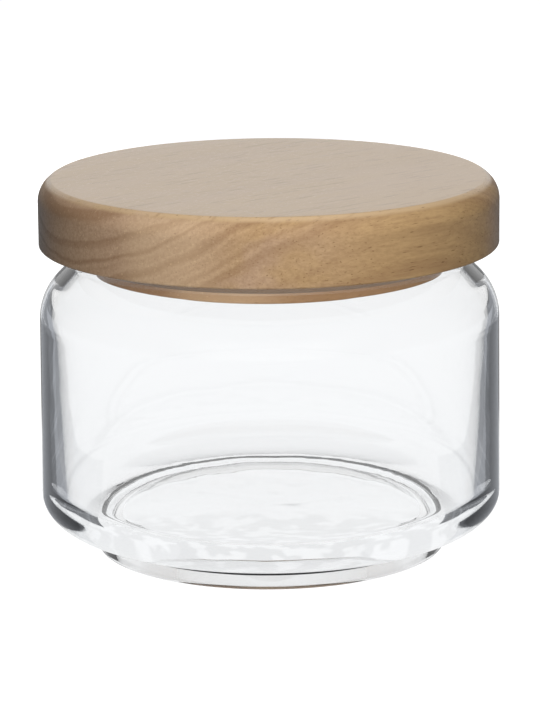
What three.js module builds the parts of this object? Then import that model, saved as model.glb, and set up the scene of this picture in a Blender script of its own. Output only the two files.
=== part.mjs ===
// Squat glass storage jar with a turned wooden lid and a silicone seal.
// Millimetres, +Z up. The origin is under the middle of the foot, on the surface that the jar stands on.
import * as THREE from 'three';

// Glass jar, outside
const jarRadius = 50.4; // where the heel meets the wall
const wallDraft = 0.3; // how much narrower the wall is at the shoulder
const footRadius = 38.4;
const footHeight = 4.7;
const footEdgeRadius = 1.2;
const footStep = 0.5; // ledge where the heel springs from the foot
const heelHeight = 7.8;
const rimHeight = 67.4;
const rimRounding = 0.9;
const neckRise = 0.9; // upright part below the rim
const shoulderRadius = 12.5; // round between the wall and the slope
const steepestLean = 45; // degrees that the slope above the round leans in
const neckFillet = 3.0; // where the slope turns up to the neck

// Glass jar, thicknesses
const floorHeight = 7.8; // at the edge of the floor inside
const floorCrown = 0.5; // how far the floor rises to its middle
const floorCurveRise = 8.0; // inside, where the wall curves in to the floor
const floorCurveReach = 10.2;
const lowWall = 4.6; // wall just above the heel
const highWall = 2.6; // wall just below the shoulder
const rimWall = 2.0; // neck and rim

// Hollow under the base, inside the ring that the jar stands on
const ringWidth = 1.6;
const hollowDepth = 2.4;
const hollowCrown = 0.3; // how much deeper the hollow is in its middle
const hollowSlope = 2.5;

// Wooden lid
const lidRadius = 50.0;
const discThickness = 14.6;
const topEdgeRadius = 5.4;
const topEdgeDrop = 4.8; // the round stops short of a full quarter and leaves a crease round the top face
const lowEdgeRadius = 0.5;
const plugRadius = 37.3;
const plugDepth = 6.6;
const plugEdgeRadius = 0.6;

// Seal ring in its groove round the plug
const grooveDepth = 1.6;
const grooveHeight = 2.8;
const grooveDrop = 0.5; // wood left between the disc and the groove
const sealReach = 2.8; // how far the seal stands out of the plug

// Clearances
const fitClearance = 0.2; // seal in its groove, and seal in the mouth
const seatGap = 0.2; // lid over the rim

// Fineness of the round shapes
const turns = 64;
const bigArcSteps = 8;
const smallArcSteps = 3;

// Sizes that follow from the ones above
const mouthRadius = plugRadius + sealReach + fitClearance;
const neckRadius = mouthRadius + rimWall;
const rimCentre = rimHeight - rimRounding;
const discUnderside = rimHeight + seatGap;
const lidTop = discUnderside + discThickness;
const plugBottom = discUnderside - plugDepth;
const grooveTop = discUnderside - grooveDrop;
const grooveBottom = grooveTop - grooveHeight;

// The shoulder's slope touches the round below it and the fillet above it. Where the two come too close for
// the steepest lean, they meet each other and the slope leans less.
const wallTop = jarRadius - wallDraft;
const roundCentre = wallTop - shoulderRadius;
const filletCentre = neckRadius + neckFillet;
const filletHeight = rimCentre - neckRise;
const meetingLean = Math.acos(1 - (wallTop - neckRadius) / (shoulderRadius + neckFillet));
const shoulderLean = Math.min(steepestLean, THREE.MathUtils.radToDeg(meetingLean));
const leanCosine = Math.cos(THREE.MathUtils.degToRad(shoulderLean));
const leanSine = Math.sin(THREE.MathUtils.degToRad(shoulderLean));
const slopeReach = shoulderRadius + neckFillet - (filletCentre - roundCentre) * leanCosine;
const shoulderStart = filletHeight - slopeReach / leanSine;

const glassLook = new THREE.MeshStandardMaterial({
  color: 0xeef3f5,
  roughness: 0.04,
  metalness: 0,
  transparent: true,
  opacity: 0.35,
});
const woodLook = new THREE.MeshStandardMaterial({ color: 0xb4936e, roughness: 0.55, metalness: 0 });
const siliconeLook = new THREE.MeshStandardMaterial({
  color: 0xb8b1a8,
  roughness: 0.4,
  metalness: 0,
  transparent: true,
  opacity: 0.7,
});

const point = (radius, height) => new THREE.Vector2(radius, height);

// Points along part of an ellipse in the half plane of radius and height. Angles are in degrees, 0 pointing
// outwards and 90 up.
function arc(centreRadius, centreHeight, reach, rise, fromAngle, toAngle, steps) {
  const points = [];
  for (let step = 0; step <= steps; step += 1) {
    const angle = THREE.MathUtils.degToRad(fromAngle + ((toAngle - fromAngle) * step) / steps);
    points.push(point(centreRadius + reach * Math.cos(angle), centreHeight + rise * Math.sin(angle)));
  }
  return points;
}

// A profile turned about the upright axis.
function turned(name, profile, look) {
  const geometry = new THREE.LatheGeometry(profile, turns);
  geometry.rotateX(Math.PI / 2);
  const mesh = new THREE.Mesh(geometry, look);
  mesh.name = name;
  return mesh;
}

// Points of a shallow dome, from its middle out to its edge.
function dome(edgeRadius, edgeHeight, crown, steps) {
  const points = [];
  for (let step = 0; step <= steps; step += 1) {
    const share = step / steps;
    points.push(point(edgeRadius * share, edgeHeight + crown * (1 - share * share)));
  }
  return points;
}

// Foot, heel, wall, shoulder and neck, from the middle of the underside up to the top of the rim.
function jarOutside() {
  const footEdge = footRadius - footEdgeRadius;
  const hollowRadius = footEdge - ringWidth;
  const heelTop = footHeight + heelHeight;
  const heelReach = jarRadius - footRadius - footStep;
  const slopeEnd = 180 + shoulderLean;
  return [
    ...dome(hollowRadius - hollowSlope, hollowDepth, hollowCrown, smallArcSteps),
    point(hollowRadius, 0),
    ...arc(footEdge, footEdgeRadius, footEdgeRadius, footEdgeRadius, -90, 0, smallArcSteps),
    point(footRadius, footHeight),
    ...arc(footRadius + footStep, heelTop, heelReach, heelHeight, -90, 0, bigArcSteps),
    ...arc(roundCentre, shoulderStart, shoulderRadius, shoulderRadius, 0, shoulderLean, bigArcSteps),
    ...arc(filletCentre, filletHeight, neckFillet, neckFillet, slopeEnd, 180, smallArcSteps),
    ...arc(neckRadius - rimRounding, rimCentre, rimRounding, rimRounding, 0, 90, smallArcSteps),
  ];
}

// The rim, the mouth, the shoulder's ceiling, the wall and the floor, from the rim down to the middle. The
// ceiling's slope leans so that it touches both of its own rounds.
function jarInside() {
  const innerFillet = neckFillet + rimWall;
  const innerRound = shoulderRadius - highWall;
  const apart = point(filletCentre - roundCentre, filletHeight - shoulderStart);
  const offCentres = Math.acos((innerRound + innerFillet) / apart.length());
  const innerLean = THREE.MathUtils.radToDeg(apart.angle() - offCentres);
  const floorEdge = jarRadius - lowWall - floorCurveReach;
  const curveTop = floorHeight + floorCurveRise;
  return [
    ...arc(mouthRadius + rimRounding, rimCentre, rimRounding, rimRounding, 90, 180, smallArcSteps),
    ...arc(filletCentre, filletHeight, innerFillet, innerFillet, 180, 180 + innerLean, smallArcSteps),
    ...arc(roundCentre, shoulderStart, innerRound, innerRound, innerLean, 0, bigArcSteps),
    ...arc(floorEdge, curveTop, floorCurveReach, floorCurveRise, 0, -90, bigArcSteps),
    ...dome(floorEdge, floorHeight, floorCrown, smallArcSteps).reverse().slice(1),
  ];
}

// One board turned to a disc with a rounded upper edge, and to a plug with a groove for the seal below it.
function lidProfile() {
  const topEdgeCentre = lidRadius - topEdgeRadius;
  const creaseAngle = THREE.MathUtils.radToDeg(Math.asin(topEdgeDrop / topEdgeRadius));
  const plugEdge = plugRadius - plugEdgeRadius;
  const lowEdge = lidRadius - lowEdgeRadius;
  return [
    point(0, plugBottom),
    ...arc(plugEdge, plugBottom + plugEdgeRadius, plugEdgeRadius, plugEdgeRadius, -90, 0, smallArcSteps),
    point(plugRadius, grooveBottom),
    point(plugRadius - grooveDepth, grooveBottom),
    point(plugRadius - grooveDepth, grooveTop),
    point(plugRadius, grooveTop),
    point(plugRadius, discUnderside),
    ...arc(lowEdge, discUnderside + lowEdgeRadius, lowEdgeRadius, lowEdgeRadius, -90, 0, smallArcSteps),
    ...arc(topEdgeCentre, lidTop - topEdgeDrop, topEdgeRadius, topEdgeRadius, 0, creaseAngle, bigArcSteps),
    point(0, lidTop),
  ];
}

// A flat band that fills the groove, with a round lip outside that bears on the glass.
function sealProfile() {
  const innerRadius = plugRadius - grooveDepth + fitClearance;
  const low = grooveBottom + fitClearance;
  const high = grooveTop - fitClearance;
  const lipRadius = (high - low) / 2;
  const lipCentre = plugRadius + sealReach - lipRadius;
  return [
    point(innerRadius, low),
    ...arc(lipCentre, low + lipRadius, lipRadius, lipRadius, -90, 90, bigArcSteps),
    point(innerRadius, high),
    point(innerRadius, low),
  ];
}

const jar = new THREE.Group();
jar.add(turned('glass_jar', [...jarOutside(), ...jarInside()], glassLook));

const lid = new THREE.Group();
lid.add(turned('wood_lid', lidProfile(), woodLook));
lid.add(turned('seal_ring', sealProfile(), siliconeLook));

const storageJar = new THREE.Group();
storageJar.add(jar, lid);

export default storageJar;
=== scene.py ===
"""Squat glass storage jar with a turned wooden lid and a silicone seal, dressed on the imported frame."""

import math

import bpy
from bpy.props import FloatProperty, FloatVectorProperty, IntProperty, PointerProperty
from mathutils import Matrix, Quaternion, Vector


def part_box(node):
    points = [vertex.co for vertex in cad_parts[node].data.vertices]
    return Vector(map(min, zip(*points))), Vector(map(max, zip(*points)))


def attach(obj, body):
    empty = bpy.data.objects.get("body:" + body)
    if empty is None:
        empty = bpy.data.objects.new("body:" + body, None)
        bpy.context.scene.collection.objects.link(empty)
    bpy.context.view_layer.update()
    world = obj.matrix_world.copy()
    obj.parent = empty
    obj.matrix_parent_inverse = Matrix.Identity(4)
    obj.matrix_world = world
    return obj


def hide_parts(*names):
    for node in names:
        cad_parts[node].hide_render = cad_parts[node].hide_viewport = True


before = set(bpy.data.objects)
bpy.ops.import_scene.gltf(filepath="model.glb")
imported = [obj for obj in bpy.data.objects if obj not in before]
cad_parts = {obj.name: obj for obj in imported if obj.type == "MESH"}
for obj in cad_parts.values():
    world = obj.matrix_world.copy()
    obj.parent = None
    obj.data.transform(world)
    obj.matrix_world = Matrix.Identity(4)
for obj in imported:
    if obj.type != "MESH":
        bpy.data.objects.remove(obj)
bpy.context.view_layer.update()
_, glass_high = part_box("glass_jar")
lid_low, lid_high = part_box("wood_lid")
seal_low, seal_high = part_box("seal_ring")

bl_info = {
    "name": "Glass storage jar",
    "version": (1, 0, 0),
    "blender": (4, 5, 0),
    "location": "3D View > Sidebar > Storage Jar",
    "description": "Makes a glass jar, its wooden lid, its seal and a studio stage on the packed frame",
    "category": "Object",
}

MM = 0.001
WHITE = (1.0, 1.0, 1.0)

# Steps along the parts of a profile
WALL_STEPS = 26
CURVE_STEPS = 24
ROUND_STEPS = 16
FACE_STEPS = 12
FILLET_STEPS = 10
EDGE_STEPS = 8
SMALL_EDGE_STEPS = 6

# Ripple of each part of the glass, outward and upward, as shares of its full depth
STILL = (0.0, 0.0)
OUTER_WALL = (-0.4, 0.0)
INNER_WALL = (1.0, 0.0)
UNDERSIDE = (0.0, 1.0)
INNER_FLOOR = (0.0, 0.5)
NO_RIPPLE = (0.0, 10 * MM)


def paint(red, green, blue):
    """A colour given as it looks on a display, 0 to 255, as the linear values that Blender works with."""
    shares = [level / 255 for level in (red, green, blue)]
    return tuple(s / 12.92 if s <= 0.04045 else ((s + 0.055) / 1.055) ** 2.4 for s in shares)


def length(name, description, metres):
    return FloatProperty(
        name=name, description=description, default=metres, min=0.0, precision=5, unit="LENGTH"
    )


def share(name, description, value):
    return FloatProperty(
        name=name, description=description, default=value, min=0.0, max=1.0, subtype="FACTOR"
    )


def colour(name, description, linear):
    return FloatVectorProperty(
        name=name, description=description, default=linear, size=3, min=0.0, max=1.0, subtype="COLOR"
    )


def angle(name, description, degrees):
    return FloatProperty(
        name=name, description=description, default=math.radians(degrees), unit="ROTATION"
    )


def power(name, description, watts):
    return FloatProperty(name=name, description=description, default=watts, min=0.0, unit="POWER")


# Settings that a user would change

class GlassSettings(bpy.types.PropertyGroup):
    """Sizes and finish of the glass jar."""

    radius: length("Radius", "Outside of the wall, where the heel meets it", glass_high.x)
    draft: length("Draft", "How much narrower the wall is at the shoulder", 0.3 * MM)
    rim_height: length("Rim height", "Top of the rim above the surface it stands on", glass_high.z)
    foot_radius: length("Foot radius", "Outside of the foot", 38.4 * MM)
    foot_height: length("Foot height", "Height at which the heel springs from the foot", 4.7 * MM)
    foot_edge: length("Foot edge", "Rounding of the foot's lower edge", 1.2 * MM)
    foot_step: length("Foot step", "Ledge between the foot and the heel", 0.5 * MM)
    heel_height: length("Heel height", "Height of the curve from the foot to the wall", 7.8 * MM)
    shoulder_radius: length("Shoulder radius", "Round of the shoulder", 12.5 * MM)
    shoulder_lean: angle("Shoulder lean", "How far the slope above the round leans in", 45)
    neck_radius: length("Neck radius", "Outside of the rim", 42.3 * MM)
    neck_fillet: length("Neck fillet", "Rounding where the slope turns up to the neck", 3.0 * MM)
    neck_rise: length("Neck rise", "Upright part of the neck below the rim", 0.9 * MM)
    rim_rounding: length("Rim rounding", "Rounding of the rim's two edges", 0.9 * MM)
    base: length("Base", "Height of the floor inside, at its edge", 7.8 * MM)
    low_wall: length("Low wall", "Thickness of the wall just above the heel", 4.6 * MM)
    high_wall: length("High wall", "Thickness of the wall just below the shoulder", 2.6 * MM)
    rim_wall: length("Rim wall", "Thickness of the neck and the rim", 2.0 * MM)
    floor_fillet: length("Floor fillet", "Height of the curve from the wall to the floor inside", 8.0 * MM)
    floor_reach: length("Floor reach", "How far that curve reaches in over the floor", 10.2 * MM)
    floor_crown: length("Floor crown", "How far the floor inside rises to its middle", 0.5 * MM)
    ring_width: length("Ring width", "Width of the ring that the jar stands on", 1.6 * MM)
    hollow_depth: length("Hollow depth", "Depth of the hollow under the base, at its edge", 2.4 * MM)
    hollow_slope: length("Hollow slope", "Width of the slope into the hollow", 2.5 * MM)
    hollow_crown: length("Hollow crown", "How much deeper the hollow is in its middle", 0.3 * MM)
    ripple: length("Ripple", "How far the blown wall wanders from a true round", 0.07 * MM)
    ripple_size: length("Ripple size", "Distance from one ripple of the wall to the next", 14 * MM)
    mottle: length("Mottle", "How far the base wanders from a true dome", 0.4 * MM)
    mottle_size: length("Mottle size", "Distance from one ripple of the base to the next", 10 * MM)
    swirl: share("Swirl", "Slant of the streaks that turning left in the glass", 0.8)
    turns: IntProperty(name="Turns", description="Faces round the jar", default=240, min=24)


class LidSettings(bpy.types.PropertyGroup):
    """Sizes and finish of the wooden lid."""

    radius: length("Radius", "Outside of the disc", lid_high.x)
    top: length("Top", "Height of the top face", lid_high.z)
    disc: length("Disc", "Thickness of the disc", 14.6 * MM)
    edge_radius: length("Edge radius", "Round of the upper edge", 5.4 * MM)
    edge_drop: length("Edge drop", "How far below the top the round starts", 4.8 * MM)
    crease_radius: length("Crease radius", "Sanded crease between the round and the top face", 0.8 * MM)
    low_edge: length("Low edge", "Rounding of the disc's lower edge", 0.5 * MM)
    plug_radius: length("Plug radius", "Outside of the plug", 37.3 * MM)
    plug_bottom: length("Plug bottom", "Height of the plug's lower face", lid_low.z)
    plug_edge: length("Plug edge", "Rounding of the plug's lower edge", 0.6 * MM)
    groove_depth: length("Groove depth", "Depth of the seal's groove", 1.6 * MM)
    groove_room: length("Groove room", "Room between the seal and its groove", 0.2 * MM)
    turns: IntProperty(name="Turns", description="Faces round the lid", default=192, min=24)
    golden_wood: colour("Golden wood", "Early wood, on its yellow side", paint(180, 149, 106))
    rosy_wood: colour("Rosy wood", "Early wood, on its pink side", paint(184, 155, 128))
    # This colour also darkens the plug, as painted shade.
    late_wood_and_plug_shade: colour("Late wood", "Darker late wood of the growth rings", paint(136, 104, 76))
    pores: colour("Pores", "Open pores along the fibre", paint(104, 76, 52))
    # This colour is also laid over the top face as painted sheen.
    pale_specks_and_top_sheen: colour("Pale specks", "Filled pores cut across", paint(214, 186, 150))
    fibre_turn: angle("Fibre turn", "Direction of the fibre, turned from +X towards +Y", 40)
    ring_spacing: length("Ring spacing", "Distance between growth rings", 3.6 * MM)


class SealSettings(bpy.types.PropertyGroup):
    """Sizes and finish of the silicone seal."""

    radius: length("Radius", "Outside of the lip", seal_high.x)
    low: length("Low", "Height of the lower face", seal_low.z)
    high: length("High", "Height of the upper face", seal_high.z)
    room: length("Room", "Room between the seal and the bottom of its groove", 0.2 * MM)
    turns: IntProperty(name="Turns", description="Faces round the seal", default=128, min=24)
    # Darker and browner than the silicone's own grey, as painted shade under the disc.
    silicone: colour("Silicone", "Colour of the seal", paint(122, 98, 74))


class StageSettings(bpy.types.PropertyGroup):
    """Camera, light and floor."""

    camera_distance: length("Camera distance", "From the lens to the middle of the picture", 800 * MM)
    camera_height: angle("Camera height", "Angle of the camera above the horizon", 13.32)
    camera_roll: angle("Camera roll", "How far the camera leans to the right", 0.5)
    aim_height: length("Aim height", "Height on the jar's axis that the camera looks at", 41.09 * MM)
    lens: FloatProperty(name="Lens", description="Focal length in millimetres", default=182.6, min=1.0)
    front_level: power("Front level", "Power of the low softbox in front", 1.95)
    top_level: power("Top level", "Power of the softbox overhead", 4.5)
    back_level: power("Back level", "Power of the low softbox behind", 1.5)
    fill_level: share("Fill level", "Soft light from all round", 0.025)


class JarSettings(bpy.types.PropertyGroup):
    """Everything that can be set."""

    glass: PointerProperty(type=GlassSettings, name="Glass", description="The glass jar")
    lid: PointerProperty(type=LidSettings, name="Lid", description="The wooden lid")
    seal: PointerProperty(type=SealSettings, name="Seal", description="The silicone seal")
    stage: PointerProperty(type=StageSettings, name="Stage", description="Camera, light and floor")


# Node building

class Wire:
    """An output socket. Arithmetic on it adds Math nodes to its tree."""

    def __init__(self, bench, node, key=0):
        self.bench = bench
        self.node = node
        self.key = key

    def socket(self):
        return self.node.outputs[self.key]

    def output(self, key):
        return Wire(self.bench, self.node, key)

    def math(self, operation, first, second=0.0):
        return self.bench.node("ShaderNodeMath", {"operation": operation}, {0: first, 1: second})

    def __add__(self, other):
        return self.math("ADD", self, other)

    def __radd__(self, other):
        return self.math("ADD", other, self)

    def __sub__(self, other):
        return self.math("SUBTRACT", self, other)

    def __rsub__(self, other):
        return self.math("SUBTRACT", other, self)

    def __mul__(self, other):
        return self.math("MULTIPLY", self, other)

    def __rmul__(self, other):
        return self.math("MULTIPLY", other, self)

    def __truediv__(self, other):
        return self.math("DIVIDE", self, other)

    def __rtruediv__(self, other):
        return self.math("DIVIDE", other, self)

    def __mod__(self, other):
        return self.math("FLOORED_MODULO", self, other)

    def __pow__(self, other):
        return self.math("POWER", self, other)

    def __gt__(self, other):
        return self.math("GREATER_THAN", self, other)

    def __abs__(self):
        return self.math("ABSOLUTE", self)

    def floor(self):
        return self.math("FLOOR", self)

    def sine(self):
        return self.math("SINE", self)

    def cosine(self):
        return self.math("COSINE", self)

    def root(self):
        return self.math("SQRT", self)

    def or_more(self, other):
        return self.math("MAXIMUM", self, other)


class Bench:
    """Adds nodes to one tree."""

    def __init__(self, tree):
        self.tree = tree

    def node(self, kind, settings=None, sockets=None, output=0):
        """A new node, with its settings made first and then its sockets filled or linked."""
        made = self.tree.nodes.new(kind)
        for name, value in (settings or {}).items():
            setattr(made, name, value)
        for key, value in (sockets or {}).items():
            if isinstance(value, Wire):
                self.tree.links.new(value.socket(), made.inputs[key])
            else:
                made.inputs[key].default_value = value
        return Wire(self, made, output)

    def object_place(self):
        """Place on the object, in metres from its origin."""
        return self.node("ShaderNodeTexCoord", output="Object")

    def split(self, vector):
        """A vector taken apart, with outputs X, Y and Z."""
        return self.node("ShaderNodeSeparateXYZ", {}, {0: vector})

    def blend(self, amount, first, second):
        """Two colours mixed by an amount from 0 to 1."""
        settings = {"data_type": "RGBA", "clamp_factor": True}
        first, second = (c if isinstance(c, Wire) else (*c, 1.0) for c in (first, second))
        return self.node("ShaderNodeMix", settings, {0: amount, 6: first, 7: second}, 2)

    def ease(self, value, low, high):
        """0 below low, 1 above high and a smooth step between them."""
        sockets = {"Value": value, "From Min": low, "From Max": high}
        return self.node("ShaderNodeMapRange", {"interpolation_type": "SMOOTHSTEP"}, sockets)

    def noise(self, place, scale, detail=2.0, roughness=0.5, kind="3D"):
        sockets = {"Scale": scale, "Detail": detail, "Roughness": roughness}
        sockets["W" if kind == "1D" else "Vector"] = place
        return self.node("ShaderNodeTexNoise", {"noise_dimensions": kind}, sockets)

    def drawn_noise(self, place, scales, detail):
        """Noise with its own scale along each axis."""
        drawn = self.node("ShaderNodeMapping", {}, {"Vector": place, "Scale": scales})
        return self.noise(drawn, 1.0, detail=detail)

    def bump(self, height, strength, metres):
        """A normal that follows a height, where 1 is so many metres."""
        return self.node("ShaderNodeBump", {}, {"Strength": strength, "Distance": metres, "Height": height})

    def principled(self, sockets):
        return self.node("ShaderNodeBsdfPrincipled", {}, sockets)


def new_material(name):
    """An empty node material and its bench."""
    material = bpy.data.materials.new(name)
    material.use_nodes = True
    material.node_tree.nodes.clear()
    return material, Bench(material.node_tree)


def surface(bench, shader, volume=None):
    sockets = {"Surface": shader}
    if volume is not None:
        sockets["Volume"] = volume
    bench.node("ShaderNodeOutputMaterial", {}, sockets)


# Materials

def clear_glass(glass):
    """Blown clear glass, with the faint swirl that turning leaves in the lower part of it."""
    streak_scales = (60.0, 60.0, 700.0)
    streak_depth = 0.003 * MM
    streaks_fade = (25, 50)  # mm above the table
    haze_scale = 90.0
    most_haze = 0.02
    material, bench = new_material("clear_blown_glass")
    place = bench.object_place()
    height = bench.split(place).output("Z")
    twist = {"Vector": place, "Angle": height * (glass.swirl / glass.radius)}
    twisted = bench.node("ShaderNodeVectorRotate", {"rotation_type": "Z_AXIS"}, twist)
    swirl = bench.drawn_noise(twisted, streak_scales, detail=2.0)
    low_swirl = swirl * (1 - bench.ease(height / MM, *streaks_fade))
    haze = bench.ease(bench.noise(place, haze_scale, detail=3.0), 0.62, 0.9)
    shader = bench.principled({
        "Base Color": (*WHITE, 1.0),
        "Roughness": haze * most_haze,
        "IOR": 1.52,
        "Transmission Weight": 1.0,
        "Normal": bench.bump(low_swirl, 1.0, streak_depth),
    })
    depth = bench.node("ShaderNodeVolumeAbsorption", {}, {"Color": (0.0, 0.12, 0.2, 1.0), "Density": 4.0})
    surface(bench, shader, depth)
    return material


class Board:
    """The board that the lid is turned from, in millimetres along its fibre, across it and up."""

    def __init__(self, bench, lid):
        self.bench = bench
        self.lid = lid
        self.top = lid.top / MM
        turned = {
            "Vector": bench.object_place(),
            "Rotation": (0.0, 0.0, -lid.fibre_turn),
            "Scale": (1 / MM,) * 3,
        }
        self.fibre = bench.node("ShaderNodeMapping", {}, turned)
        place = bench.split(self.fibre)
        along = place.output("X")
        self.across = place.output("Y")
        self.up = place.output("Z")
        self.on_top = bench.ease(self.up, self.top - 1.2, self.top - 0.2)
        outwards = abs(along) / (along ** 2 + self.across ** 2).root().or_more(1.0)
        self.end_grain = bench.ease(outwards, 0.55, 0.95) * (1 - self.on_top)
        self.streaks = self.marks(14, 0.7, detail=4.0, roughness=0.65)
        self.pores = bench.ease(self.marks(2.4, 0.3, detail=1.0), 0.64, 0.76)

    def marks(self, long, wide, detail, roughness=0.5):
        """Noise drawn out along the fibre, in marks of about this length and width."""
        drawn = {0: self.fibre, 1: (1 / long, 1 / wide, 1 / wide)}
        place = self.bench.node("ShaderNodeVectorMath", {"operation": "MULTIPLY"}, drawn)
        return self.bench.noise(place, 1.0, detail, roughness)

    def growth_rings(self):
        """How much late wood there is, in rings that sway a little round a pith above the lid."""
        pith_across = 9
        pith_height = 50
        sway = 5
        true_ring = ((self.across - pith_across) ** 2 + (self.up - self.top - pith_height) ** 2).root()
        from_pith = true_ring + self.marks(70, 16, detail=2.0) * sway
        rings = self.bench.noise(from_pith / (self.lid.ring_spacing / MM), 1.0, detail=2.0, kind="1D")
        return self.bench.ease(rings, 0.42, 0.68) * (1 - 0.6 * self.on_top)

    def pale_streak(self):
        """A paler streak of the board, along one side of the lid."""
        outer_edge = (-34, -24)
        inner_edge = (-16, -8)
        ease = self.bench.ease
        return ease(self.across, *outer_edge) * (1 - ease(self.across, *inner_edge))

    def painted_plug_shade(self):
        """The plug, darkened as painted shade for the shadow of the disc and the glass in front of it."""
        soft_edge = 0.4
        underside = self.top - self.lid.disc / MM
        return 1 - self.bench.ease(self.up, underside - soft_edge, underside)

    def tone(self):
        """Colour of the board: early wood, with each mark laid over it by its own amount, painted shade on
        the plug and painted sheen on the top face.
        """
        golden_side = (-52, -36)
        lid = self.lid
        ease = self.bench.ease
        grain = self.marks(1.6, 0.5, detail=3.0, roughness=0.65)
        warmth = ease(self.marks(50, 8, detail=2.0), 0.3, 0.7)
        specks = ease(self.marks(1.2, 0.45, detail=1.0), 0.64, 0.76) * self.end_grain
        dashes = ease(self.marks(8, 1.1, detail=1.0), 0.58, 0.74) * self.on_top
        rosiness = warmth.or_more(self.end_grain) * ease(self.across, *golden_side)
        tone = self.bench.blend(rosiness, lid.golden_wood, lid.rosy_wood)
        for amount, over in (
            (self.growth_rings() * (0.4 + 0.18 * self.end_grain), lid.late_wood_and_plug_shade),
            ((self.streaks - 0.42) * (1.4 - self.on_top), lid.late_wood_and_plug_shade),
            ((grain - 0.42) * (1.0 - 0.7 * self.on_top), lid.late_wood_and_plug_shade),
            # Painted shade: the plug darkened towards late wood.
            (self.painted_plug_shade() * 0.75, lid.late_wood_and_plug_shade),
            # Painted sheen: the top face made paler. The pale streak is the board's own tone.
            ((self.pale_streak() * 0.3).or_more(self.on_top * 0.6), lid.pale_specks_and_top_sheen),
            (dashes * 0.3, lid.late_wood_and_plug_shade),
            (self.pores * (0.6 - 0.3 * self.end_grain), lid.pores),
            (specks * 0.45, lid.pale_specks_and_top_sheen),
        ):
            tone = self.bench.blend(amount, tone, over)
        return tone


def turned_wood(lid):
    """Satin hardwood, with the growth rings, the fibre and the pores of one board running through the lid."""
    material, bench = new_material("satin_lid_wood")
    board = Board(bench, lid)
    relief = board.streaks * 0.4 - board.pores
    relief_depth = 0.2 * MM
    shader = bench.principled({
        "Base Color": board.tone(),
        "Roughness": 0.4 - 0.2 * board.on_top + board.streaks * 0.1 + board.pores * 0.2,
        "IOR": 1.2,
        "Coat Weight": 0.6 * board.on_top,
        "Coat Roughness": 0.28,
        "Normal": bench.bump(relief, 0.2, relief_depth),
    })
    surface(bench, shader)
    return material


def soft_silicone(seal):
    """Silicone with a faint bloom, its colour darkened to brown as painted shade under the lid's disc."""
    paler = 1.15
    bloom_scale = 300.0
    bloom_depth = 0.2 * MM
    material, bench = new_material("shade_darkened_silicone")
    bloom = bench.noise(bench.object_place(), bloom_scale, detail=3.0)
    pale = tuple(min(1.0, level * paler) for level in seal.silicone)
    shader = bench.principled({
        "Base Color": bench.blend(bloom, seal.silicone, pale),
        "Roughness": 0.5 + bloom * 0.2,
        "IOR": 1.41,
        "Transmission Weight": 0.1,
        "Normal": bench.bump(bloom, 0.1, bloom_depth),
    })
    surface(bench, shader)
    return material


# Turned pieces

def arc(centre, reach, start, end, steps, rise=None):
    """Points on part of a circle, or of an ellipse where a rise is given, in the half plane of radius and
    height. Angles are in degrees, 0 outwards and 90 up."""
    rise = reach if rise is None else rise
    angles = [math.radians(start + (end - start) * step / steps) for step in range(steps + 1)]
    return [(centre[0] + reach * math.cos(a), centre[1] + rise * math.sin(a)) for a in angles]


def between(first, last, steps):
    """The points on a straight line between two points, without its ends."""
    shares = [step / steps for step in range(1, steps)]
    return [(first[0] + (last[0] - first[0]) * s, first[1] + (last[1] - first[1]) * s) for s in shares]


def dish(edge, crown, steps):
    """Points of a shallow dome from its middle out to its edge, without the edge."""
    shares = [step / steps for step in range(steps)]
    return [(edge[0] * s, edge[1] + crown * (1 - s * s)) for s in shares]


def rippled(points, start, end):
    """Points with a ripple, outward and upward, that changes evenly from the first point to the last."""
    outline = []
    for step, point in enumerate(points):
        done = step / (len(points) - 1)
        outward, upward = (a + (b - a) * done for a, b in zip(start, end))
        outline.append((*point, outward, upward))
    return outline


def shoulder_centres(glass):
    """Centres of the shoulder's round and of the neck's fillet, placed so that one slope touches both."""
    fillet_radius = glass.neck_radius + glass.neck_fillet
    fillet_height = glass.rim_height - glass.rim_rounding - glass.neck_rise
    round_radius = glass.radius - glass.draft - glass.shoulder_radius
    overlap = (fillet_radius - round_radius) * math.cos(glass.shoulder_lean)
    slope_reach = glass.shoulder_radius + glass.neck_fillet - overlap
    round_height = fillet_height - slope_reach / math.sin(glass.shoulder_lean)
    return (round_radius, round_height), (fillet_radius, fillet_height)


def jar_outside(glass):
    """Outline from the middle of the underside up to the top of the rim, with the ripple of each part."""
    round_centre, fillet_centre = shoulder_centres(glass)
    lean = math.degrees(glass.shoulder_lean)
    foot_edge = glass.foot_radius - glass.foot_edge
    hollow = foot_edge - glass.ring_width
    hollow_edge = (hollow - glass.hollow_slope, glass.hollow_depth)
    heel_centre = (glass.foot_radius + glass.foot_step, glass.foot_height + glass.heel_height)
    heel_reach = glass.radius - glass.foot_radius - glass.foot_step
    wall_low = (glass.radius, heel_centre[1])
    wall_high = (glass.radius - glass.draft, round_centre[1])
    rim_centre = (glass.neck_radius - glass.rim_rounding, glass.rim_height - glass.rim_rounding)

    under = dish(hollow_edge, glass.hollow_crown, ROUND_STEPS)
    under += [hollow_edge, (hollow, 0.0)]
    foot = arc((foot_edge, glass.foot_edge), glass.foot_edge, -90, 0, EDGE_STEPS)
    foot.append((glass.foot_radius, glass.foot_height))
    heel = arc(heel_centre, heel_reach, -90, 0, CURVE_STEPS, rise=glass.heel_height)
    wall = between(wall_low, wall_high, WALL_STEPS)
    shoulder = arc(round_centre, glass.shoulder_radius, 0, lean, ROUND_STEPS)
    shoulder += arc(fillet_centre, glass.neck_fillet, 180 + lean, 180, FILLET_STEPS)
    rim = arc(rim_centre, glass.rim_rounding, 0, 90, EDGE_STEPS)

    outline = rippled(under, UNDERSIDE, STILL)
    outline += rippled(foot, STILL, STILL)
    outline += rippled(heel, STILL, OUTER_WALL)
    outline += rippled(wall, OUTER_WALL, OUTER_WALL)
    outline += rippled(shoulder, OUTER_WALL, STILL)
    outline += rippled(rim, STILL, STILL)
    return outline


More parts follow.
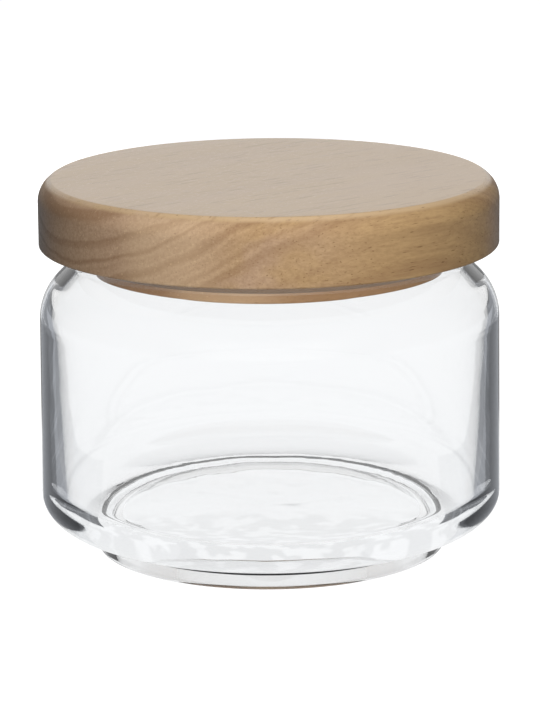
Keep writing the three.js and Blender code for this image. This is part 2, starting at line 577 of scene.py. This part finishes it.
def jar_inside(glass):
    """Outline from the rim down to the middle of the floor, with the ripple of each part. The ceiling's slope
    leans so that it touches both of its own rounds."""
    round_centre, fillet_centre = shoulder_centres(glass)
    round_radius = glass.shoulder_radius - glass.high_wall
    fillet_radius = glass.neck_fillet + glass.rim_wall
    apart = Vector(fillet_centre) - Vector(round_centre)
    off_centres = math.acos((round_radius + fillet_radius) / apart.length)
    lean = math.degrees(math.atan2(apart.y, apart.x) - off_centres)
    mouth_radius = glass.neck_radius - glass.rim_wall
    mouth_centre = (mouth_radius + glass.rim_rounding, glass.rim_height - glass.rim_rounding)
    low_radius = glass.radius - glass.low_wall
    floor_edge = (low_radius - glass.floor_reach, glass.base)
    floor_centre = (floor_edge[0], glass.base + glass.floor_fillet)
    wall_high = (glass.radius - glass.draft - glass.high_wall, round_centre[1])
    wall_low = (low_radius, floor_centre[1])

    mouth = arc(mouth_centre, glass.rim_rounding, 90, 180, EDGE_STEPS)
    ceiling = arc(fillet_centre, fillet_radius, 180, 180 + lean, FILLET_STEPS)
    ceiling += arc(round_centre, round_radius, lean, 0, ROUND_STEPS)
    wall = between(wall_high, wall_low, WALL_STEPS)
    floor = arc(floor_centre, glass.floor_reach, 0, -90, CURVE_STEPS, rise=glass.floor_fillet)
    floor += dish(floor_edge, glass.floor_crown, ROUND_STEPS)[::-1]

    outline = rippled(mouth, STILL, STILL)
    outline += rippled(ceiling, STILL, INNER_WALL)
    outline += rippled(wall, INNER_WALL, INNER_WALL)
    outline += rippled(floor, INNER_WALL, INNER_FLOOR)
    return outline


def lid_profile(lid, seal):
    """Outline of the lid, from the middle of the plug up to the middle of the top, without ripple."""
    underside = lid.top - lid.disc
    groove = lid.plug_radius - lid.groove_depth
    groove_low = seal.low - lid.groove_room
    groove_high = seal.high + lid.groove_room
    plug_edge = lid.plug_radius - lid.plug_edge
    low_edge = lid.radius - lid.low_edge
    round_centre = (lid.radius - lid.edge_radius, lid.top - lid.edge_drop)
    inward = lid.edge_radius - lid.crease_radius
    crease_angle = math.asin((lid.edge_drop - lid.crease_radius) / inward)
    crease_centre = (round_centre[0] + inward * math.cos(crease_angle), lid.top - lid.crease_radius)
    crease_start = math.degrees(crease_angle)
    points = [(0.0, lid.plug_bottom)]
    points += between((0.0, lid.plug_bottom), (plug_edge, lid.plug_bottom), EDGE_STEPS)
    points += arc((plug_edge, lid.plug_bottom + lid.plug_edge), lid.plug_edge, -90, 0, SMALL_EDGE_STEPS)
    points += [(lid.plug_radius, groove_low), (groove, groove_low), (groove, groove_high)]
    points += [(lid.plug_radius, groove_high), (lid.plug_radius, underside)]
    points += arc((low_edge, underside + lid.low_edge), lid.low_edge, -90, 0, SMALL_EDGE_STEPS)
    points += arc(round_centre, lid.edge_radius, 0, crease_start, ROUND_STEPS)
    points += arc(crease_centre, lid.crease_radius, crease_start, 90, SMALL_EDGE_STEPS)[1:]
    points += between(points[-1], (0.0, lid.top), FACE_STEPS)
    points.append((0.0, lid.top))
    return rippled(points, STILL, STILL)


def seal_profile(lid, seal):
    """Outline of the seal, a flat band with a round lip outside, without ripple."""
    inner = lid.plug_radius - lid.groove_depth + seal.room
    lip = (seal.high - seal.low) / 2
    points = [(inner, seal.low)]
    points += arc((seal.radius - lip, seal.low + lip), lip, -90, 90, ROUND_STEPS)
    points += [(inner, seal.high), (inner, seal.low)]
    return rippled(points, STILL, STILL)


def turning_tree():
    """Geometry nodes that turn a profile about the upright axis, with a ripple where the profile asks."""
    tree = bpy.data.node_groups.new("turned_piece", "GeometryNodeTree")
    for name, kind in (
        ("Profile", "NodeSocketGeometry"),
        ("Turns", "NodeSocketInt"),
        ("Ripple", "NodeSocketFloat"),
        ("Ripple Size", "NodeSocketFloat"),
        ("Mottle", "NodeSocketFloat"),
        ("Mottle Size", "NodeSocketFloat"),
        ("Material", "NodeSocketMaterial"),
    ):
        tree.interface.new_socket(name, in_out="INPUT", socket_type=kind)
    tree.interface.new_socket("Piece", in_out="OUTPUT", socket_type="NodeSocketGeometry")
    bench = Bench(tree)
    given = bench.node("NodeGroupInput")
    placed = turned_grid(bench, given)
    dressed = welded_piece(bench, placed, given.output("Material"))
    bench.node("NodeGroupOutput", {}, {"Piece": dressed})
    return tree


def turned_grid(bench, given):
    """A grid with one column for each turn, wrapped round the axis along the profile."""
    profile = given.output("Profile")
    turns = given.output("Turns")
    count = bench.node("GeometryNodeAttributeDomainSize", {}, {"Geometry": profile})
    grid = bench.node("GeometryNodeMeshGrid", {}, {"Vertices X": turns + 1, "Vertices Y": count})
    index = bench.node("GeometryNodeInputIndex")
    around = (index / count).floor() * (2 * math.pi) / turns

    def along_profile(value):
        sockets = {"Geometry": profile, "Value": value, "Index": index % count}
        return bench.split(bench.node("GeometryNodeSampleIndex", {"data_type": "FLOAT_VECTOR"}, sockets))

    def round_axis(radius, height):
        """The place or step with this radius and height, at the turn that a corner of the grid belongs to."""
        sockets = {0: around.cosine() * radius, 1: around.sine() * radius, 2: height}
        return bench.node("ShaderNodeCombineXYZ", {}, sockets)

    def wander(place, amount, size):
        """A smooth random height from 0 to the amount."""
        return bench.noise(place, 1 / given.output(size), detail=1.0) * given.output(amount)

    point = along_profile(bench.node("GeometryNodeInputPosition"))
    stored = {"data_type": "FLOAT_VECTOR"}
    weight = along_profile(bench.node("GeometryNodeInputNamedAttribute", stored, {"Name": "ripple"}))
    true_round = round_axis(point.output("X"), point.output("Z"))
    ripple = wander(true_round, "Ripple", "Ripple Size") * weight.output("X")
    mottle = wander(true_round, "Mottle", "Mottle Size") * weight.output("Z")
    moved = {"Geometry": grid, "Position": true_round, "Offset": round_axis(ripple, mottle)}
    return bench.node("GeometryNodeSetPosition", {}, moved)


def welded_piece(bench, placed, material):
    """The wrapped grid closed along its seam, smooth but for its sharp corners, with its material."""
    weld_distance = 0.001 * MM
    sharpest_round = math.radians(32)
    welded = bench.node("GeometryNodeMergeByDistance", {}, {"Geometry": placed, "Distance": weld_distance})
    all_smooth = {"Geometry": welded, "Shade Smooth": True}
    smooth = bench.node("GeometryNodeSetShadeSmooth", {"domain": "FACE"}, all_smooth)
    corner = bench.node("GeometryNodeInputMeshEdgeAngle") > sharpest_round
    corners_sharp = {"Geometry": smooth, "Selection": corner, "Shade Smooth": False}
    crisp = bench.node("GeometryNodeSetShadeSmooth", {"domain": "EDGE"}, corners_sharp)
    whole = bench.node("GeometryNodeRealizeInstances", {}, {"Geometry": crisp})
    return bench.node("GeometryNodeSetMaterial", {}, {"Geometry": whole, "Material": material})


def turn_piece(name, profile, material, turns, ripple=NO_RIPPLE, mottle=NO_RIPPLE):
    """Turns a profile and leaves a plain mesh object at the origin. Ripple and mottle give depth and size."""
    tree = bpy.data.node_groups.get("turned_piece") or turning_tree()
    outline = bpy.data.meshes.new(name + "_outline")
    links = [(step, step + 1) for step in range(len(profile) - 1)]
    outline.from_pydata([(radius, 0.0, height) for radius, height, _, _ in profile], links, [])
    ripples = outline.attributes.new("ripple", "FLOAT_VECTOR", "POINT")
    for spot, (_, _, outward, upward) in zip(ripples.data, profile):
        spot.vector = (outward, 0.0, upward)
    piece = bpy.data.objects.new(name, outline)
    turning = piece.modifiers.new("turning", "NODES")
    turning.node_group = tree
    values = {"Turns": turns, "Material": material}
    values |= {"Ripple": ripple[0], "Ripple Size": ripple[1], "Mottle": mottle[0], "Mottle Size": mottle[1]}
    for item in tree.interface.items_tree:
        if item.in_out == "INPUT" and item.name in values:
            turning[item.identifier] = values[item.name]
    bpy.context.scene.collection.objects.link(piece)
    evaluated = piece.evaluated_get(bpy.context.evaluated_depsgraph_get())
    mesh = bpy.data.meshes.new_from_object(evaluated)
    mesh.name = name
    piece.modifiers.remove(turning)
    piece.data = mesh
    bpy.data.meshes.remove(outline)
    return piece


# Stage

def pale_floor():
    """White floor that keeps shadows. Through glass it is white, with painted shade in patches under the jar.
    In gloss it greys away from the jar.
    """
    glow_share = 0.8  # of what the camera sees, and the rest takes the shadows
    shade_patch_scale = 160.0
    jar_ends = (50, 60)  # mm from the axis
    gloss_fades = (110, 150)
    material, bench = new_material("pale_floor")
    place = bench.object_place()
    reach = bench.node("ShaderNodeVectorMath", {"operation": "LENGTH"}, {0: place}, "Value") / MM
    towards_camera = bench.split(place).output("Y") / -MM
    under_jar = bench.ease(towards_camera, -8, 8) * (1 - bench.ease(reach, *jar_ends))
    # Painted shadow: patches of shade on the floor under the jar, seen through the glass.
    shade_patches = bench.ease(bench.noise(place, shade_patch_scale, detail=2.0), 0.42, 0.62) * under_jar
    path = bench.node("ShaderNodeLightPath")
    camera = path.output("Is Camera Ray")
    glossy = path.output("Is Glossy Ray")
    through = path.output("Is Transmission Ray")
    in_glass = through * (1.02 - 0.34 * shade_patches)
    in_gloss = glossy * (0.9 - 0.55 * bench.ease(reach, *gloss_fades))
    grey = bench.blend(camera, (0.05,) * 3, (0.9,) * 3)
    matt = bench.node("ShaderNodeBsdfDiffuse", {}, {"Color": grey})
    shown = {
        "Color": bench.blend(camera, (0.98, 0.99, 1.0), WHITE),
        "Strength": 1 / glow_share * camera + in_glass.or_more(in_gloss),
    }
    glow = bench.node("ShaderNodeEmission", {}, shown)
    amount = (camera * glow_share).or_more(glossy.or_more(through))
    surface(bench, bench.node("ShaderNodeMixShader", {}, {0: amount, 1: matt, 2: glow}))
    return material


def lay_floor():
    """A wide disc just under the foot."""
    radius = 2.5
    height = -0.2 * MM
    angles = [math.radians(degrees) for degrees in range(0, 360, 5)]
    rim = [(radius * math.cos(a), radius * math.sin(a), height) for a in angles]
    mesh = bpy.data.meshes.new("floor")
    mesh.from_pydata(rim, [], [list(range(len(rim)))])
    mesh.materials.append(pale_floor())
    floor = bpy.data.objects.new("floor", mesh)
    bpy.context.scene.collection.objects.link(floor)


def flag_card(name, in_wall, in_gloss):
    """Bluish grey card with paler brush strokes, for the near wall of the jar to mirror. Straight through the
    glass, and in the far wall, it is white."""
    stroke_scales = (15.0, 350.0, 15.0)
    stroke_level = 0.14
    most_crossings = 2.5
    material, bench = new_material(name)
    strokes = bench.drawn_noise(bench.object_place(), stroke_scales, detail=3.0)
    lift = bench.ease(strokes, 0.5, 0.68) * stroke_level
    path = bench.node("ShaderNodeLightPath")
    crossings = path.output("Transmission Depth")
    mirrored = (path.output("Ray Depth") - crossings) > 0.5
    near_wall = mirrored * (1 - (crossings > most_crossings))
    in_glass = 1 - near_wall * (1 - in_wall - lift)
    level = in_gloss + path.output("Is Transmission Ray") * (in_glass - in_gloss)
    tint = bench.blend(near_wall, WHITE, (0.94, 0.98, 1.05))
    surface(bench, bench.node("ShaderNodeEmission", {}, {"Color": tint, "Strength": level}))
    return material


def lay_flags():
    """Cards beside the jar and behind it, out of the picture, that only glass and gloss show. Millimetres."""
    inner_edge = ((42, -22), (52, -8), (54, 12), (71, 78), (88, 133), (120, 250), (230, 600))
    middle_edge = ((54, -22), (62, 8), (67, 23), (70, 29), (78, 46), (100, 82), (210, 260), (315, 600))
    far_edge = ((100, -22), (100, 12), (118, 42), (145, 78), (190, 125), (560, 500), (560, 600))
    lying_height = 0.1
    standing_height = 70
    standing_edge = ((220, 600), (560, 600))
    dark_lying = [(x, y, lying_height) for x, y in (*inner_edge, *reversed(middle_edge))]
    pale_lying = [(x, y, lying_height) for x, y in (*middle_edge, *reversed(far_edge))]
    standing = [(x, y, 0) for x, y in standing_edge]
    standing += [(x, y, standing_height) for x, y in reversed(standing_edge)]
    pale_card = flag_card("pale_card", in_wall=0.4, in_gloss=0.6)
    dark_card = flag_card("dark_card", in_wall=0.14, in_gloss=0.6)
    for name, corners, card in (
        ("pale_flag", pale_lying, pale_card),
        ("dark_flag", dark_lying, dark_card),
        ("standing_flag", standing, dark_card),
    ):
        for side, turn in (("left", -MM), ("right", MM)):
            mesh = bpy.data.meshes.new(f"{name}_{side}")
            mesh.from_pydata([(turn * x, y * MM, z * MM) for x, y, z in corners], [], [range(len(corners))])
            mesh.materials.append(card)
            flag = bpy.data.objects.new(mesh.name, mesh)
            bpy.context.scene.collection.objects.link(flag)
            flag.visible_camera = False
            flag.visible_diffuse = False
            flag.visible_shadow = False


def hang_lights(stage):
    """Low softboxes close in front of the jar and behind it, and a third one overhead."""
    aim = Vector((0.0, 0.0, 0.07))
    for name, place, size, watts in (
        ("front_softbox", (0.04, -0.48, 0.13), 0.14, stage.front_level),
        ("back_softbox", (-0.04, 0.5, 0.13), 0.14, stage.back_level),
        ("top_softbox", (0.05, -0.15, 0.95), 0.35, stage.top_level),
    ):
        lamp = bpy.data.lights.new(name, "AREA")
        lamp.size = size
        lamp.energy = watts
        box = bpy.data.objects.new(name, lamp)
        box.location = place
        box.rotation_euler = (aim - box.location).to_track_quat("-Z", "Y").to_euler()
        box.visible_camera = False
        box.visible_glossy = False
        box.visible_transmission = False
        bpy.context.scene.collection.objects.link(box)


def colour_world(stage):
    """White for the camera, white near the horizon for glass and for gloss, and a low fill for the rest."""
    world = bpy.data.worlds.new("studio")
    world.use_nodes = True
    world.node_tree.nodes.clear()
    bench = Bench(world.node_tree)
    direction = bench.split(bench.node("ShaderNodeTexCoord", output="Generated"))
    height = direction.output("Z")
    above_horizon = bench.ease(height, 0.05, 0.3)
    overhead = bench.ease(height, 0.35, 0.7)
    beside = bench.ease(abs(direction.output("X")), 0.3, 0.8)
    path = bench.node("ShaderNodeLightPath")
    through = path.output("Is Transmission Ray")
    in_glass = through * (1.0 - 0.12 * above_horizon)
    gloss = path.output("Is Glossy Ray") * (1 - through)
    sheen = gloss * (0.8 - 0.7 * overhead) * (1 - 0.95 * beside)
    shown = path.output("Is Camera Ray").or_more(in_glass).or_more(sheen).or_more(stage.fill_level)
    sky = bench.node("ShaderNodeBackground", {}, {"Color": (*WHITE, 1.0), "Strength": shown})
    bench.node("ShaderNodeOutputWorld", {}, {"Surface": sky})
    bpy.context.scene.world = world


def place_camera(stage):
    """The camera at the photograph's angle."""
    lens = bpy.data.cameras.new("camera")
    lens.lens = stage.lens
    lens.sensor_width = 36.0
    camera = bpy.data.objects.new("camera", lens)
    aim = Vector((0.0, 0.0, stage.aim_height))
    back = Vector((0.0, -math.cos(stage.camera_height), math.sin(stage.camera_height)))
    camera.location = aim + back * stage.camera_distance
    level = (-back).to_track_quat("-Z", "Y")
    camera.rotation_euler = (level @ Quaternion((0.0, 0.0, 1.0), -stage.camera_roll)).to_euler()
    bpy.context.scene.collection.objects.link(camera)
    bpy.context.scene.camera = camera


# Operators and panel

class STORAGE_JAR_OT_glass(bpy.types.Operator):
    """Make the glass jar"""

    bl_idname = "storage_jar.glass"
    bl_label = "Glass jar"

    def execute(self, context):
        glass = context.scene.storage_jar.glass
        profile = jar_outside(glass) + jar_inside(glass)
        ripple = (glass.ripple, glass.ripple_size)
        mottle = (glass.mottle, glass.mottle_size)
        piece = turn_piece("jar_glass", profile, clear_glass(glass), glass.turns, ripple, mottle)
        piece.visible_shadow = False
        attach(piece, "jar")
        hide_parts("glass_jar")
        return {"FINISHED"}


class STORAGE_JAR_OT_lid(bpy.types.Operator):
    """Make the wooden lid"""

    bl_idname = "storage_jar.lid"
    bl_label = "Wooden lid"

    def execute(self, context):
        settings = context.scene.storage_jar
        profile = lid_profile(settings.lid, settings.seal)
        piece = turn_piece("lid_wood", profile, turned_wood(settings.lid), settings.lid.turns)
        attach(piece, "lid")
        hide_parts("wood_lid")
        return {"FINISHED"}


class STORAGE_JAR_OT_seal(bpy.types.Operator):
    """Make the silicone seal"""

    bl_idname = "storage_jar.seal"
    bl_label = "Silicone seal"

    def execute(self, context):
        settings = context.scene.storage_jar
        profile = seal_profile(settings.lid, settings.seal)
        piece = turn_piece("seal_silicone", profile, soft_silicone(settings.seal), settings.seal.turns)
        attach(piece, "seal")
        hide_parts("seal_ring")
        return {"FINISHED"}


class STORAGE_JAR_OT_stage(bpy.types.Operator):
    """Make the floor, the light and the camera"""

    bl_idname = "storage_jar.stage"
    bl_label = "Studio stage"

    def execute(self, context):
        stage = context.scene.storage_jar.stage
        lay_floor()
        lay_flags()
        hang_lights(stage)
        colour_world(stage)
        place_camera(stage)
        context.scene.view_settings.view_transform = "Standard"
        return {"FINISHED"}


OPERATORS = (STORAGE_JAR_OT_glass, STORAGE_JAR_OT_lid, STORAGE_JAR_OT_seal, STORAGE_JAR_OT_stage)


class STORAGE_JAR_PT_panel(bpy.types.Panel):
    """Lists the pieces in the sidebar."""

    bl_idname = "STORAGE_JAR_PT_panel"
    bl_label = "Storage Jar"
    bl_space_type = "VIEW_3D"
    bl_region_type = "UI"
    bl_category = "Storage Jar"

    def draw(self, context):
        for operator in OPERATORS:
            self.layout.operator(operator.bl_idname)


CLASSES = (
    GlassSettings,
    LidSettings,
    SealSettings,
    StageSettings,
    JarSettings,
    *OPERATORS,
    STORAGE_JAR_PT_panel,
)


def register():
    for made in CLASSES:
        bpy.utils.register_class(made)
    bpy.types.Scene.storage_jar = PointerProperty(
        type=JarSettings, name="Storage jar", description="Settings of the jar and its stage"
    )


def unregister():
    del bpy.types.Scene.storage_jar
    for made in reversed(CLASSES):
        bpy.utils.unregister_class(made)


def main():
    register()
    bpy.ops.storage_jar.glass()
    bpy.ops.storage_jar.lid()
    bpy.ops.storage_jar.seal()
    bpy.ops.storage_jar.stage()


if __name__ == "__main__":
    main()
